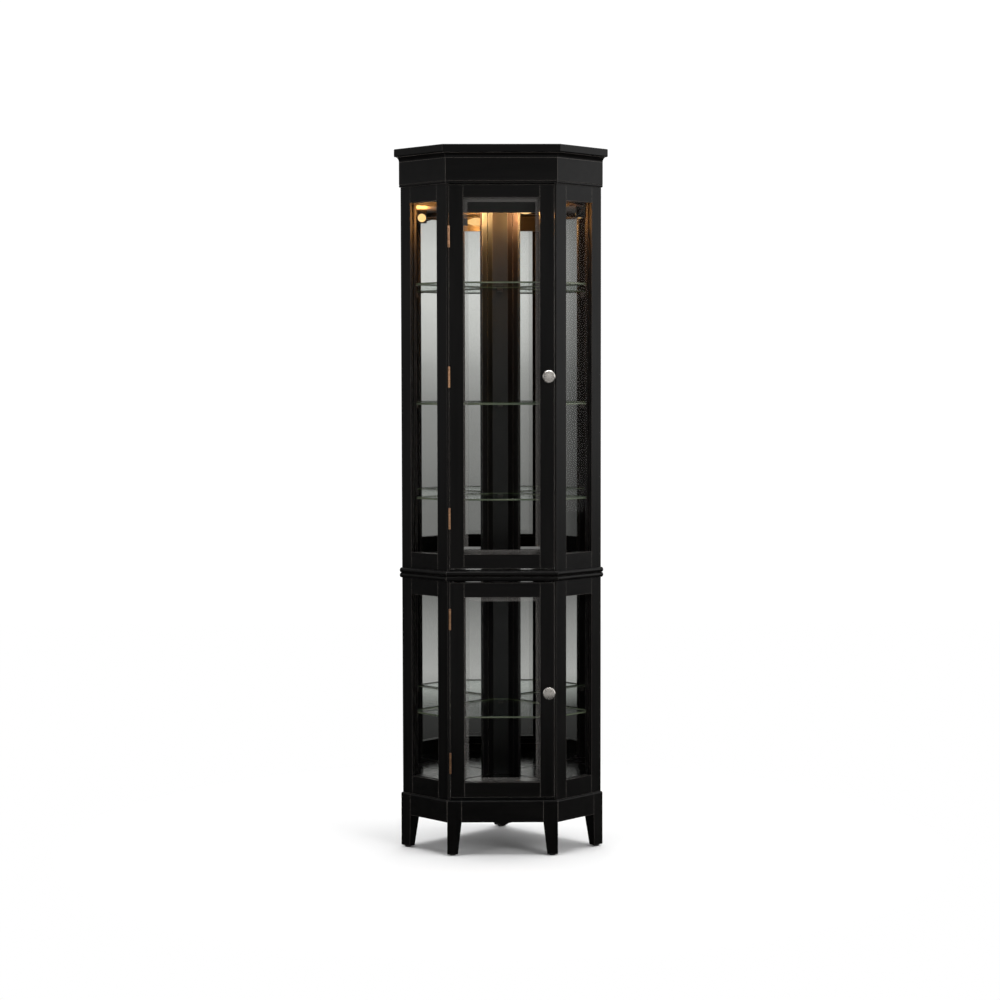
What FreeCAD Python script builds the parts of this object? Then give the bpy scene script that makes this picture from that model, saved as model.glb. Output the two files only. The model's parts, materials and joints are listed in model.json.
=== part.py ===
"""Lighted corner curio cabinet with two glazed compartments, one named solid group per sub-part.

Frame: X runs along the width, the front faces -Y, Z is up, and the origin is at the middle of the
floor under the cabinet. In plan the cabinet is a square standing on one corner, with its front
corner cut off: two back walls meet at the rear corner, two glazed sides run at 45 degrees, and the
doors close the flat front. The right-hand half is drawn, and the left-hand half is its mirror image.
"""
import FreeCAD, Part
import math
import os

V = FreeCAD.Vector
ROOT2 = math.sqrt(2.0)
UP = V(0, 0, 1)
CENTRE = V(0, 0, 0)

# Overall size, in millimetres.
WIDTH = 539.75
DEPTH = 393.7
HEIGHT = 1778.0

# How far each tier stands out from the glazed body.
CROWN_OUT = 22.4
FRIEZE_OUT = 5.5
WAIST_OUT = 8.5
BASE_OUT = 6.5

# Levels above the floor.
GLIDE_TOP = 4.0
APRON_BOTTOM = 85.0
PENDANT_BOTTOM = 75.5
BASE_TOP = 140.0
WAIST_BOTTOM = 693.5
WAIST_TOP = 719.0
FRIEZE_BOTTOM = 1683.0
FRIEZE_TOP = 1746.0
SLAB_BOTTOM = 1758.0

# Panels across the inside: bottom level and thickness.
LOWER_FLOOR = (126.0, 19.0)
UPPER_FLOOR = (702.0, 19.0)
CEILING = (1652.0, 18.0)

# Framing.
SIDE_T = 19.0
BACK_T = 13.0
STILE = 35.0
POST_REVEAL = 5.0
LAP = 8.0
BACK_LAP_Z = 4.0
FRIEZE_T = 16.0
APRON_T = 25.5
BACK_APRON_T = 13.0
SIDE_OPENINGS = ((186.0, 653.0), (760.0, 1643.0))
SIDE_RAIL_SPLIT = 706.0
BACK_OPENINGS = ((145.0, 702.0), (721.0, 1641.0))
BACK_STILE_RUN = 42.2
BACK_FACE_T = 4.0
MIRROR_T = 4.0
REAR_POST_FACE = 40.0
REAR_POST_FLANK = 38.2
PANE_T = 4.0
PANE_DEPTH = 8.0
PANE_GROOVE = 6.0
GROOVE_SLACK = 0.2

# Doors: bottom, top, and the bottom and top of the glass in each.
DOOR_T = 19.0
DOOR_GAP = 1.5
UPPER_DOOR = (725.5, 1680.0, 761.0, 1648.5)
LOWER_DOOR = (147.5, 689.5, 185.0, 653.0)
STOP_CLEARANCE = 0.6
RABBET_DEPTH = 9.0
DOOR_GLASS_T = 4.0
BEVEL_W = 18.5
BEVEL_T = 1.5
BEAD_SLACK = 0.3

# Knobs.
KNOB_X = 117.0
KNOB_R = 15.5
KNOB_OUT = 21.5
UPPER_KNOB_Z = 1204.5
LOWER_KNOB_Z = 412.5
KNOB_SCREW_R = 2.0

# Butt hinges on the left.
UPPER_HINGES = (851.0, 1204.0, 1552.0)
LOWER_HINGES = (234.5, 598.0)
HINGE_L = 51.0
BARREL_R = 2.9
PIN_R = 1.5
PIN_CLEARANCE = 0.05
PIN_FORWARD = 3.4
LEAF_T = 1.2
LEAF_REACH = 19.5
KNUCKLE_GAP = 0.3
SCREW_R = 1.3
SCREW_L = 10.0

# Magnets in the ceiling's edge and in the lower door's stop, with strike discs in the doors.
MAGNET_X = 88.0
MAGNET_R = 4.5
MAGNET_L = 12.0
STRIKE_R = 4.8
STRIKE_T = 1.5
UPPER_MAGNET_Z = 1662.0
LOWER_MAGNET_Z = 156.0

# Glass shelves and their brackets.
SHELF_T = 5.0
SHELF_FRONT_Y = -149.0
SHELF_GAP = 1.5
SHELVES = {"glass_shelf_top": 1437.5, "glass_shelf_middle": 1134.0,
           "glass_shelf_bottom": 894.0, "glass_shelf_lower": 344.0}

# Lamp under the ceiling.
LAMP_Y = -24.0
LAMP_Z = 1630.0
BULB_R = 11.0
BULB_MIDDLE_X = 64.0
SOCKET_MOUTH_X = 86.0
SOCKET_END_X = 114.0
SOCKET_R = 10.0
BRACKET_X = 97.0
BRACKET_T = 1.5
LEAD_R = 2.1

# Plan lines that follow from those sizes.
REAR_Y = DEPTH / 2
FRONT_Y = CROWN_OUT - DEPTH / 2
SIDE_X = WIDTH / 2 - CROWN_OUT / ROOT2
DOOR_BACK_Y = FRONT_Y + DOOR_T
STOP_Y = DOOR_BACK_Y + STOP_CLEARANCE


def side_corner(out):
    """Plan corner where a tier's 45 degree side meets the back wall."""
    x = SIDE_X + out / ROOT2
    return (x, REAR_Y - x)


def front_corner(out):
    """Plan corner where a tier's front meets its 45 degree side."""
    x, y = side_corner(out)
    front = FRONT_Y - out
    return (x - y + front, front)


FRONT_X, _ = front_corner(0)
SIDE_Y = side_corner(0)[1]
SIDE_RUN = (SIDE_X - FRONT_X) * ROOT2
BACK_RUN = SIDE_X * ROOT2
POST_X = FRONT_X - POST_REVEAL
DOOR_X = POST_X - DOOR_GAP
PIN_X = -(POST_X - DOOR_GAP / 2)
PIN_Y = FRONT_Y - PIN_FORWARD
REAR_FACE_Y = REAR_Y - BACK_T * ROOT2 - REAR_POST_FACE / 2
MIRROR_END_RUN = (SIDE_X - REAR_POST_FACE / 2) * ROOT2 - BACK_T - REAR_POST_FLANK


def on_side(run, depth):
    """Plan point run along the right side from its front corner, and depth inside its face."""
    return (FRONT_X + (run - depth) / ROOT2, FRONT_Y + (run + depth) / ROOT2)


def on_back(run, depth):
    """Plan point run along the right back wall from its side corner, and depth inside its face."""
    return (SIDE_X - (run + depth) / ROOT2, SIDE_Y + (run - depth) / ROOT2)


def mirrored(shape):
    """The left-hand twin of a right-hand shape."""
    return shape.mirror(CENTRE, V(1, 0, 0))


def pair(shape):
    """A right-hand shape and its left-hand twin."""
    return [shape, mirrored(shape)]


def prism(points, bottom, top):
    """Upright solid on a plan outline."""
    loop = [V(x, y, bottom) for x, y in points]
    face = Part.Face(Part.makePolygon(loop + [loop[0]]))
    return face.extrude(V(0, 0, top - bottom))


def box(x, y, z):
    """Box between three (low, high) pairs."""
    return Part.makeBox(x[1] - x[0], y[1] - y[0], z[1] - z[0], V(x[0], y[0], z[0]))


def side_board(run, depth, z):
    """Board in the right side wall."""
    plan = [on_side(run[0], depth[0]), on_side(run[1], depth[0]),
            on_side(run[1], depth[1]), on_side(run[0], depth[1])]
    return prism(plan, z[0], z[1])


def back_board(run, depth, z):
    """Board in the right back wall."""
    plan = [on_back(run[0], depth[0]), on_back(run[1], depth[0]),
            on_back(run[1], depth[1]), on_back(run[0], depth[1])]
    return prism(plan, z[0], z[1])


def joined(shapes):
    """One clean solid from touching shapes."""
    whole = shapes[0].fuse(shapes[1:])
    return whole.removeSplitter()


def save(name, shapes):
    """Write one node, made of one solid or of several separate ones."""
    solids = [solid for shape in shapes for solid in shape.Solids]
    whole = solids[0] if len(solids) == 1 else Part.makeCompound(solids)
    if not whole.isValid():
        print("invalid shape:", name)
    whole.exportStep("parts/" + name + ".step")


# ---------------------------------------------------------------- mouldings round the front

def outline(out):
    """Plan outline of a whole tier."""
    front = front_corner(out)
    side = side_corner(out)
    right = [front, side, (0, REAR_Y)]
    left = [(-side[0], side[1]), (-front[0], front[1])]
    return right + left


def front_strip(inner, outer, z):
    """Mitred length along the front, between two offsets."""
    a = front_corner(outer)
    b = front_corner(inner)
    return prism([(-a[0], a[1]), a, b, (-b[0], b[1])], z[0], z[1])


def side_strip(inner, outer, z):
    """Mitred length along the right side, between two offsets."""
    plan = [front_corner(outer), side_corner(outer), side_corner(inner), front_corner(inner)]
    return prism(plan, z[0], z[1])


def section(edges):
    """Moulding section: X is the distance out from the body, Z the height."""
    return Part.Face(Part.Wire(edges))


def line(a, b):
    return Part.LineSegment(V(a[0], 0, a[1]), V(b[0], 0, b[1])).toShape()


def arc(a, middle, b):
    return Part.Arc(V(a[0], 0, a[1]), V(middle[0], 0, middle[1]), V(b[0], 0, b[1])).toShape()


def moulding(profile):
    """Front, right and left lengths of one section, mitred at the corners."""
    bounds = profile.BoundBox
    z = (bounds.ZMin, bounds.ZMax)
    front = profile.copy()
    front.rotate(CENTRE, UP, -90)
    front.translate(V(-WIDTH, FRONT_Y, 0))
    front = front.extrude(V(2 * WIDTH, 0, 0)).common(front_strip(bounds.XMin, bounds.XMax, z))
    side = profile.copy()
    side.rotate(CENTRE, UP, -45)
    side.translate(V(FRONT_X - DEPTH, FRONT_Y - DEPTH, 0))
    side = side.extrude(V(3 * DEPTH, 3 * DEPTH, 0))
    side = side.common(side_strip(bounds.XMin, bounds.XMax, z))
    return [front, side, mirrored(side)]


def crown_slab():
    """Top board with its front and side edges rounded over."""
    radius = 3.0
    slab = prism(outline(CROWN_OUT), SLAB_BOTTOM, HEIGHT)
    edges = []
    for edge in slab.Edges:
        middle = edge.CenterOfMass
        level = abs(edge.BoundBox.ZLength) < 0.01
        on_wall = abs(middle.x) + middle.y > REAR_Y - 0.5
        if level and not on_wall:
            edges.append(edge)
    return slab.makeFillet(radius, edges)


def crown_cove():
    """Hollow moulding between the frieze and the top board."""
    inner = FRIEZE_OUT - FRIEZE_T
    radius = SLAB_BOTTOM - FRIEZE_TOP
    low = (FRIEZE_OUT, FRIEZE_TOP)
    high = (FRIEZE_OUT + radius, SLAB_BOTTOM)
    bend = radius * math.sqrt(0.5)
    middle = (FRIEZE_OUT + radius - bend, FRIEZE_TOP + bend)
    edges = [line((inner, FRIEZE_TOP), low), arc(low, middle, high),
             line(high, (inner, SLAB_BOTTOM)), line((inner, SLAB_BOTTOM), (inner, FRIEZE_TOP))]
    return moulding(section(edges))


def frieze():
    """Deep flat band under the cove, with a small bead along its lower edge."""
    inner = FRIEZE_OUT - FRIEZE_T
    bead = 3.0
    low = FRIEZE_BOTTOM
    face = FRIEZE_OUT - 1.2
    edges = [line((inner, low), (face, low)),
             arc((face, low), (face + 1.2, low + bead), (face, low + 2 * bead)),
             line((face, low + 2 * bead), (FRIEZE_OUT, low + 2 * bead + 1.0)),
             line((FRIEZE_OUT, low + 2 * bead + 1.0), (FRIEZE_OUT, FRIEZE_TOP)),
             line((FRIEZE_OUT, FRIEZE_TOP), (inner, FRIEZE_TOP)),
             line((inner, FRIEZE_TOP), (inner, low))]
    return moulding(section(edges))


def waist_moulding():
    """Two rounded beads, one over the other."""
    bead_r = (WAIST_TOP - WAIST_BOTTOM) / 4
    root = WAIST_OUT - bead_r
    middle_z = (WAIST_TOP + WAIST_BOTTOM) / 2
    edges = [line((0, WAIST_BOTTOM), (root, WAIST_BOTTOM)),
             arc((root, WAIST_BOTTOM), (WAIST_OUT, WAIST_BOTTOM + bead_r), (root, middle_z)),
             arc((root, middle_z), (WAIST_OUT, middle_z + bead_r), (root, WAIST_TOP)),
             line((root, WAIST_TOP), (0, WAIST_TOP)),
             line((0, WAIST_TOP), (0, WAIST_BOTTOM))]
    return moulding(section(edges))


# ---------------------------------------------------------------- posts, rails and panels

def pane_space(opening, slack):
    """Room for one side pane, with its edges in the frame's grooves."""
    reach = PANE_GROOVE + slack
    run = (STILE - reach, SIDE_RUN - STILE + reach)
    depth = (PANE_DEPTH - slack, PANE_DEPTH + PANE_T + slack)
    return side_board(run, depth, (opening[0] - reach, opening[1] + reach))


def grooved(shape):
    """Cut the side panes' grooves into a framing member."""
    spaces = [pane_space(opening, GROOVE_SLACK) for opening in SIDE_OPENINGS]
    return shape.cut(spaces)


def front_post():
    """Right front post, mitred round the 135 degree corner."""
    run = SIDE_T + (POST_X - FRONT_X) * ROOT2
    plan = [front_corner(0), on_side(STILE, 0), on_side(STILE, SIDE_T),
            on_side(run, SIDE_T), (POST_X, FRONT_Y)]
    return grooved(prism(plan, BASE_TOP, FRIEZE_BOTTOM))


def side_post():
    """Right rear-side post: an L round the square corner, lapped for the mirror and its board."""
    end = SIDE_RUN
    lap_depth = BACK_T - BACK_FACE_T
    plan = [on_side(end, 0), on_side(end - STILE, 0), on_side(end - STILE, SIDE_T),
            on_side(end - BACK_T, SIDE_T), on_back(BACK_STILE_RUN, BACK_T),
            on_back(BACK_STILE_RUN, lap_depth), on_back(BACK_STILE_RUN - LAP, lap_depth),
            on_back(BACK_STILE_RUN - LAP, 0)]
    return grooved(prism(plan, BASE_TOP, FRIEZE_BOTTOM))


def rear_post():
    """Rear corner post: a flat face between two flanks, each with a groove down its middle."""
    lap_depth = BACK_T - BACK_FACE_T
    right = [on_back(MIRROR_END_RUN + LAP, 0), on_back(MIRROR_END_RUN + LAP, lap_depth),
             on_back(MIRROR_END_RUN, lap_depth), on_back(MIRROR_END_RUN, BACK_T),
             (REAR_POST_FACE / 2, REAR_FACE_Y)]
    left = [(-x, y) for x, y in reversed(right)]
    post = prism([(0, REAR_Y)] + right + left, BASE_TOP, SLAB_BOTTOM)
    middle = MIRROR_END_RUN + REAR_POST_FLANK / 2
    groove_w = 3.0
    groove_d = 2.5
    groove = [on_back(middle - groove_w / 2, BACK_T + 1), on_back(middle + groove_w / 2, BACK_T + 1),
              on_back(middle + groove_w / 2, BACK_T - groove_d),
              on_back(middle - groove_w / 2, BACK_T - groove_d)]
    return post.cut(pair(prism(groove, BASE_TOP - 1, SLAB_BOTTOM + 1)))


def side_rails():
    """Rails between the posts, above and below each pane, on both sides."""
    lower, upper = SIDE_OPENINGS
    spans = ((BASE_TOP, lower[0]), (lower[1], SIDE_RAIL_SPLIT),
             (SIDE_RAIL_SPLIT, upper[0]), (upper[1], FRIEZE_BOTTOM))
    rails = []
    for span in spans:
        rail = side_board((STILE, SIDE_RUN - STILE), (0, SIDE_T), span)
        rails += pair(grooved(rail))
    return rails


def back_rails():
    """Rails of the two back frames, with the mirrors' laps cut behind their faces."""
    lower, upper = BACK_OPENINGS
    lap_depth = BACK_T - BACK_FACE_T
    face_depth = (lap_depth, BACK_T)
    run = (BACK_STILE_RUN, MIRROR_END_RUN)
    lap_run = (BACK_STILE_RUN - LAP, MIRROR_END_RUN + LAP)
    frieze_run = (FRIEZE_T - FRIEZE_OUT, BACK_STILE_RUN)
    strip = back_board(run, face_depth, (BASE_TOP, lower[0]))
    divider = joined([back_board(run, face_depth, (lower[1], upper[0])),
                      back_board(lap_run, (0, lap_depth), (lower[1] + BACK_LAP_Z, upper[0] - BACK_LAP_Z))])
    top = joined([back_board(run, face_depth, (upper[1], SLAB_BOTTOM)),
                  back_board(lap_run, (0, lap_depth), (upper[1] + BACK_LAP_Z, SLAB_BOTTOM)),
                  back_board(frieze_run, (0, BACK_T), (FRIEZE_BOTTOM, SLAB_BOTTOM))])
    return pair(strip) + pair(divider) + pair(top)


def backing(opening, depth):
    """Sheet behind one opening of the back frames: a mirror or its board."""
    slack = 0.5
    run = (BACK_STILE_RUN - LAP + slack, MIRROR_END_RUN + LAP - slack)
    z = (opening[0] - BACK_LAP_Z + slack, opening[1] + BACK_LAP_Z - slack)
    return pair(back_board(run, depth, z))


def mirrors(opening):
    return backing(opening, (BACK_T - BACK_FACE_T - MIRROR_T, BACK_T - BACK_FACE_T))


def back_boards():
    depth = (0, BACK_T - BACK_FACE_T - MIRROR_T)
    return [board for opening in BACK_OPENINGS for board in backing(opening, depth)]


def interior(gap, front_y):
    """Plan outline of the space inside the walls, held off them by a gap."""
    side_line = FRONT_X - FRONT_Y - ROOT2 * (SIDE_T + gap)
    rear_y = REAR_FACE_Y - gap
    rear_x = REAR_Y - ROOT2 * (BACK_T + gap) - rear_y
    right = [(side_line + front_y, front_y), on_back(SIDE_T + gap, BACK_T + gap), (rear_x, rear_y)]
    return right + [(-x, y) for x, y in reversed(right)]


def magnet_hole(z):
    return Part.makeCylinder(MAGNET_R, MAGNET_L, V(MAGNET_X, STOP_Y, z), V(0, 1, 0))


def panel(level):
    """Floor, divider or ceiling board."""
    return prism(interior(0, STOP_Y), level[0], level[0] + level[1])


def light_valance():
    """Board that hides the lamp from the front, and the upper door's top stop."""
    thickness = 12.0
    bottom = 1613.0
    plan = interior(0, STOP_Y)
    slope = plan[0][0] - STOP_Y
    back = STOP_Y + thickness
    points = [plan[0], (slope + back, back), (-slope - back, back), plan[-1]]
    return prism(points, bottom, CEILING[0])


def waist_rail():
    """Front rail between the two doors."""
    return box((-POST_X, POST_X), (FRONT_Y, STOP_Y), (WAIST_BOTTOM, WAIST_TOP))


def lower_door_stop():
    """Batten on the lower floor that the lower door closes against."""
    height = 20.0
    floor_top = sum(LOWER_FLOOR)
    batten = box((-128.0, 128.0), (STOP_Y, STOP_Y + 14.0), (floor_top, floor_top + height))
    return batten.cut(magnet_hole(LOWER_MAGNET_Z))


# ---------------------------------------------------------------- base

def base_envelope():
    """The whole base as one block with its top outer edge rounded, to trim each piece to."""
    block = prism(outline(BASE_OUT), 0, BASE_TOP)
    edges = []
    for edge in block.Edges:
        middle = edge.CenterOfMass
        if middle.z > BASE_TOP - 0.1 and abs(middle.x) + middle.y < REAR_Y - 0.5:
            edges.append(edge)
    return block.makeFillet(4.0, edges)


def tapered_foot(top, bottom):
    """Foot that is straight beside the aprons and tapers below them."""
    shoulder = prism(top, APRON_BOTTOM, BASE_TOP)
    upper = Part.makePolygon([V(x, y, APRON_BOTTOM) for x, y in top + top[:1]])
    lower = Part.makePolygon([V(x, y, GLIDE_TOP) for x, y in bottom + bottom[:1]])
    return joined([shoulder, Part.makeLoft([lower, upper], True, True)])


def front_foot_plan(width, depth):
    x, y = front_corner(BASE_OUT)
    return [(x, y), (x, y + depth), (x - width, y + depth), (x - width, y)]


def side_foot_plan(width, depth):
    return [on_side(SIDE_RUN, -BASE_OUT), on_side(SIDE_RUN, depth - BASE_OUT),
            on_side(SIDE_RUN - width, depth - BASE_OUT), on_side(SIDE_RUN - width, -BASE_OUT)]


def rear_foot_plan(width):
    half = width / ROOT2
    return [(0, REAR_Y), (-half, REAR_Y - half), (0, REAR_Y - 2 * half), (half, REAR_Y - half)]


FOOT_BOTTOMS = [front_foot_plan(27.0, 25.0), side_foot_plan(31.0, 17.0), rear_foot_plan(25.0)]


def feet():
    """Front, rear-side and rear feet, from right to left."""
    tops = [front_foot_plan(36.5, 34.0), side_foot_plan(33.0, 33.0), rear_foot_plan(36.0)]
    front, side, rear = [tapered_foot(a, b) for a, b in zip(tops, FOOT_BOTTOMS)]
    envelope = base_envelope()
    return [foot.common(envelope) for foot in pair(front) + pair(side) + [rear]]


def glides():
    """Round glides, one under each foot."""
    radius = 8.0
    spots = []
    for plan in FOOT_BOTTOMS:
        x = sum(point[0] for point in plan) / 4
        y = sum(point[1] for point in plan) / 4
        spots += [(x, y)] if abs(x) < 1 else [(x, y), (-x, y)]
    discs = []
    for x, y in spots:
        disc = Part.makeCylinder(radius, GLIDE_TOP, V(x, y, 0))
        rim = [edge for edge in disc.Edges if edge.CenterOfMass.z < 0.1]
        discs.append(disc.makeFillet(1.2, rim))
    return discs


def front_apron(envelope, all_feet):
    """Front rail of the base, with a bracket-shaped drop at its middle."""
    half_w = 25.0
    shoulder = (9.0, PENDANT_BOTTOM + 4.0)
    bar = front_strip(BASE_OUT - APRON_T, BASE_OUT, (APRON_BOTTOM, BASE_TOP))
    hollow = (16.0, APRON_BOTTOM - 2.0)
    start = (-half_w, APRON_BOTTOM)
    end = (half_w, APRON_BOTTOM)
    edges = [arc(start, (-hollow[0], hollow[1]), (-shoulder[0], shoulder[1])),
             arc((-shoulder[0], shoulder[1]), (0, PENDANT_BOTTOM), shoulder),
             arc(shoulder, hollow, end),
             line(end, (half_w, APRON_BOTTOM + 5)),
             line((half_w, APRON_BOTTOM + 5), (-half_w, APRON_BOTTOM + 5)),
             line((-half_w, APRON_BOTTOM + 5), start)]
    drop = section(edges)
    drop.translate(V(0, FRONT_Y - BASE_OUT, 0))
    drop = drop.extrude(V(0, 20.0, 0))
    return joined([bar.common(envelope).cut(all_feet), drop])


def side_aprons(envelope, all_feet):
    bar = side_strip(BASE_OUT - APRON_T, BASE_OUT, (APRON_BOTTOM, BASE_TOP))
    return pair(bar.common(envelope).cut(all_feet))


def back_aprons(all_feet):
    bar = back_board((0, BACK_RUN), (0, BACK_APRON_T), (APRON_BOTTOM, BASE_TOP))
    side = side_strip(BASE_OUT - APRON_T, BASE_OUT, (APRON_BOTTOM, BASE_TOP))
    bar = bar.cut(all_feet + [side])
    return pair(bar)


# ---------------------------------------------------------------- shelves

def shelf(bottom):
    """Glass shelf with its edges ground to a small chamfer."""
    plate = prism(interior(SHELF_GAP, SHELF_FRONT_Y), bottom, bottom + SHELF_T)
    level = [edge for edge in plate.Edges if abs(edge.BoundBox.ZLength) < 0.01]
    return plate.makeChamfer(0.7, level)


def clip(board, low, high, shelf_bottom):
    """Angle bracket on a wall: an upright leg and a ledge under the glass."""
    thickness = 1.5
    leg_h = 14.0
    ledge = 12.0
    depth = {side_board: SIDE_T, back_board: BACK_T}[board]
    leg = board((low, high), (depth, depth + thickness), (shelf_bottom - leg_h, shelf_bottom))
    foot = board((low, high), (depth, depth + ledge), (shelf_bottom - thickness, shelf_bottom))
    return joined([leg, foot])


def shelf_clips():
    """Five brackets under each shelf."""
    clips = []
    for level in SHELVES.values():
        clips += pair(clip(side_board, 14.0, 28.0, level))
        clips += pair(clip(back_board, 24.0, 38.0, level))
        leg = box((-7, 7), (REAR_FACE_Y - 1.5, REAR_FACE_Y), (level - 9, level))
        ledge = box((-7, 7), (REAR_FACE_Y - 12, REAR_FACE_Y), (level - 1.5, level))
        clips.append(joined([leg, ledge]))
    return clips


# ---------------------------------------------------------------- doors

def glass_window(door):
    """Half-width and height span of a door's glass, edges in the rabbet included."""
    reach = LAP - BEAD_SLACK
    return (DOOR_X - STILE + reach, door[2] - reach, door[3] + reach)


def door_stile(door, holes):
    """Right-hand stile of a door, rabbeted behind for the glass and its beads."""
    edge = DOOR_X - STILE
    front = box((edge, DOOR_X), (FRONT_Y, FRONT_Y + RABBET_DEPTH), (door[0], door[1]))
    back = box((edge + LAP, DOOR_X), (FRONT_Y + RABBET_DEPTH, DOOR_BACK_Y), (door[0], door[1]))
    return joined([front, back]).cut(holes) if holes else joined([front, back])


def door_rail(z_visible, z_back, strike=None):
    """Rail of a door, lapped behind the stiles."""
    edge = DOOR_X - STILE
    front = box((-edge, edge), (FRONT_Y, FRONT_Y + RABBET_DEPTH), z_visible)
    back = box((-edge - LAP, edge + LAP), (FRONT_Y + RABBET_DEPTH, DOOR_BACK_Y), z_back)
    rail = joined([front, back])
    return rail if strike is None else rail.cut(strike)


def door_glass(door):
    """Plate with a wide bevel round its front face."""
    half, low, high = glass_window(door)
    front_y = FRONT_Y + RABBET_DEPTH
    shoulder_y = front_y + BEVEL_T
    plate = box((-half, half), (shoulder_y, front_y + DOOR_GLASS_T), (low, high))
    loops = []
    for y, inset in ((shoulder_y, 0), (front_y, BEVEL_W)):
        x = half - inset
        ring = [V(-x, y, low + inset), V(x, y, low + inset), V(x, y, high - inset),
                V(-x, y, high - inset)]
        loops.append(Part.makePolygon(ring + ring[:1]))
    return joined([plate, Part.makeLoft(loops, True, True)])


def door_beads(door):
    """Four strips that hold the glass in from behind."""
    y = (FRONT_Y + RABBET_DEPTH + DOOR_GLASS_T, DOOR_BACK_Y)
    edge = DOOR_X - STILE
    out = edge + LAP - BEAD_SLACK
    low = door[2] - LAP + BEAD_SLACK
    high = door[3] + LAP - BEAD_SLACK
    upright = box((edge, out), y, (low, high))
    bottom = box((-edge, edge), y, (low, door[2]))
    top = box((-edge, edge), y, (door[3], high))
    return pair(upright) + [bottom, top]


def knob(z):
    """Round knob: a foot, a waisted neck and a broad, slightly domed head."""
    foot_r = 9.0
    neck_r = 6.0
    rim_t = 4.5
    head_back = KNOB_OUT - 9.0
    points = [(0, 0), (foot_r, 0), (foot_r, 2.5), (neck_r, 5.0), (neck_r, head_back - 2.0),
              (KNOB_R - 3.0, head_back), (KNOB_R, head_back + 2.5), (KNOB_R, head_back + 2.5 + rim_t)]
    edges = [Part.LineSegment(V(a[0], -a[1], 0), V(b[0], -b[1], 0)).toShape()
             for a, b in zip(points, points[1:])]
    rim = points[-1]
    rise = 0.8
    lip = (KNOB_R - 1.5, KNOB_OUT - rise)
    edges.append(Part.LineSegment(V(rim[0], -rim[1], 0), V(lip[0], -lip[1], 0)).toShape())
    dome_r = (lip[0] ** 2 + rise ** 2) / (2 * rise)
    half = math.asin(lip[0] / dome_r) / 2
    crest = V(dome_r * math.sin(half), -KNOB_OUT + dome_r * (1 - math.cos(half)), 0)
    dome = Part.Arc(V(lip[0], -lip[1], 0), crest, V(0, -KNOB_OUT, 0))
    edges.append(dome.toShape())
    edges.append(Part.LineSegment(V(0, -KNOB_OUT, 0), CENTRE).toShape())
    turned = Part.Face(Part.Wire(edges)).revolve(CENTRE, V(0, 1, 0), 360)
    turned.translate(V(KNOB_X, FRONT_Y, z))
    return turned.cut(knob_screw_hole(z))


def knob_screw_hole(z):
    start = V(KNOB_X, FRONT_Y - 9.0, z)
    return Part.makeCylinder(KNOB_SCREW_R + PIN_CLEARANCE, DOOR_T + 9.0, start, V(0, 1, 0))


def knob_screw(z):
    """Pan-head screw through the stile from behind."""
    start = V(KNOB_X, FRONT_Y - 8.5, z)
    shank = Part.makeCylinder(KNOB_SCREW_R, DOOR_T + 8.5, start, V(0, 1, 0))
    head = Part.makeCylinder(3.8, 2.2, V(KNOB_X, DOOR_BACK_Y, z), V(0, 1, 0))
    rim = [edge for edge in head.Edges if edge.CenterOfMass.y > DOOR_BACK_Y + 2.0]
    return joined([shank, head.makeFillet(1.0, rim)])


def strike_disc(z):
    start = V(MAGNET_X, DOOR_BACK_Y - STRIKE_T, z)
    return Part.makeCylinder(STRIKE_R, STRIKE_T, start, V(0, 1, 0))


# ---------------------------------------------------------------- hinges

def leaf_box(side, z, spare=0.0):
    """Flat of a leaf: side is 1 on the door and -1 on the post."""
    near = PIN_X + side * DOOR_GAP / 2
    far = near + side * LEAF_T
    y = (PIN_Y + BARREL_R + KNUCKLE_GAP + spare, PIN_Y + LEAF_REACH)
    return box((min(near, far), max(near, far)), y, (z - HINGE_L / 2, z + HINGE_L / 2))


def knuckle_spans(side, z):
    """Height spans of a leaf's knuckles: the middle one on the door, the others on the post."""
    third = HINGE_L / 3
    low = z - HINGE_L / 2
    if side > 0:
        return [(low + third + KNUCKLE_GAP / 2, low + 2 * third - KNUCKLE_GAP / 2)]
    return [(low, low + third - KNUCKLE_GAP / 2), (low + 2 * third + KNUCKLE_GAP / 2, low + HINGE_L)]


def hinge_leaf(side, z):
    """Leaf with its knuckles, bored for the pin and countersunk for the screws."""
    plate = leaf_box(side, z)
    near = PIN_X + side * DOOR_GAP / 2
    x = (min(near, near + side * LEAF_T), max(near, near + side * LEAF_T))
    pieces = [plate]
    for low, high in knuckle_spans(side, z):
        pieces.append(Part.makeCylinder(BARREL_R, high - low, V(PIN_X, PIN_Y, low)))
        pieces.append(box(x, (PIN_Y, PIN_Y + BARREL_R + KNUCKLE_GAP), (low, high)))
    leaf = joined(pieces)
    bore = Part.makeCylinder(PIN_R + PIN_CLEARANCE, HINGE_L + 2, V(PIN_X, PIN_Y, z - HINGE_L / 2 - 1))
    return leaf.cut([bore] + [hinge_screw(side, spot) for spot in screw_levels(z)])


def screw_levels(z):
    return (z - 17.0, z + 17.0)


def hinge_screw(side, z, spare=0.0):
    """Countersunk screw from the gap into the post or the door."""
    near = PIN_X + side * DOOR_GAP / 2
    y = PIN_Y + 12.0
    heading = V(side, 0, 0)
    shank = Part.makeCylinder(SCREW_R + spare, SCREW_L, V(near, y, z), heading)
    head = Part.makeCone(SCREW_R + 1.2, SCREW_R, LEAF_T, V(near, y, z), heading)
    return joined([shank, head])


def hinge_cuts(side, levels):
    """Mortises and screw holes for a row of hinges."""
    cuts = []
    for z in levels:
        mortise = leaf_box(side, z, -KNUCKLE_GAP - BARREL_R)
        cuts.append(mortise)
        cuts += [hinge_screw(side, spot, PIN_CLEARANCE) for spot in screw_levels(z)]
    return cuts


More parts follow.
